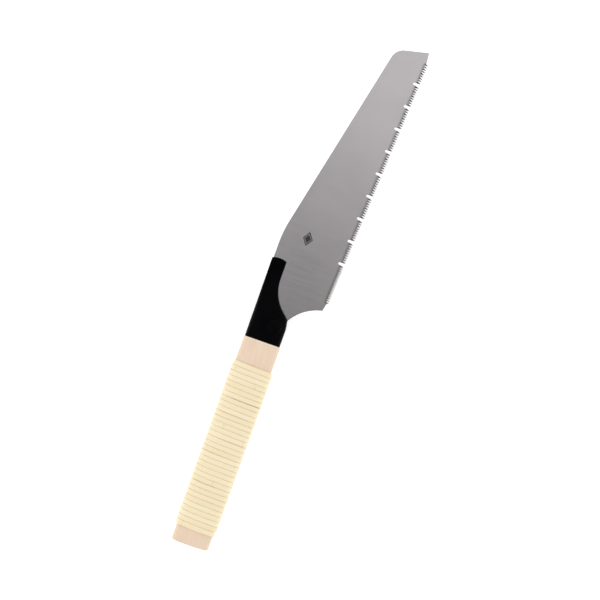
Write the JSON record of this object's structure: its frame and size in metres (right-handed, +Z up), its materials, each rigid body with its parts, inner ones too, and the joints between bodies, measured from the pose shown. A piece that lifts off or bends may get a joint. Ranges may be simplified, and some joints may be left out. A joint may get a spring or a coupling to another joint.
{
  "type": "japanese pull saw",
  "caption": "Hand saw with a straight, rattan-wrapped wooden handle, a folded ferrule and a swing-out replaceable blade with teeth cut in groups along its lower edge.",
  "frame": {"origin": "centre of the underside of the saw's bounding box, with the saw lying flat", "axes": "+X from the butt of the handle to the toe of the blade, +Y from the teeth to the spine, +Z up through the blade's thickness"},
  "size_m": [0.6252, 0.1004, 0.0355],
  "materials": {
    "blade_steel": "ground and plated, with a fine grain across the blade",
    "black_paint": "satin black paint on folded sheet",
    "rivet_paint": "satin black paint",
    "handle_wood": "bare, planed, fine straight grain",
    "rattan": "split cane with its natural gloss",
    "nail_steel": "dull steel"
  },
  "bodies": {
    "handle": {"handle_core": "handle_wood", "rattan_wrap": "rattan", "ferrule": "black_paint", "hook_rivet": "rivet_paint", "spine_nail": "nail_steel", "seam_nail_left": "nail_steel", "seam_nail_right": "nail_steel"},
    "blade": {"saw_blade": "blade_steel"}
  },
  "joints": [
    {"name": "blade_release", "type": "hinge", "parent": "handle", "child": "blade", "pos_m": [-0.0436, 0.01812, 0.01775], "axis": [0, 0, -1], "range_deg": [0, 15]}
  ]
}
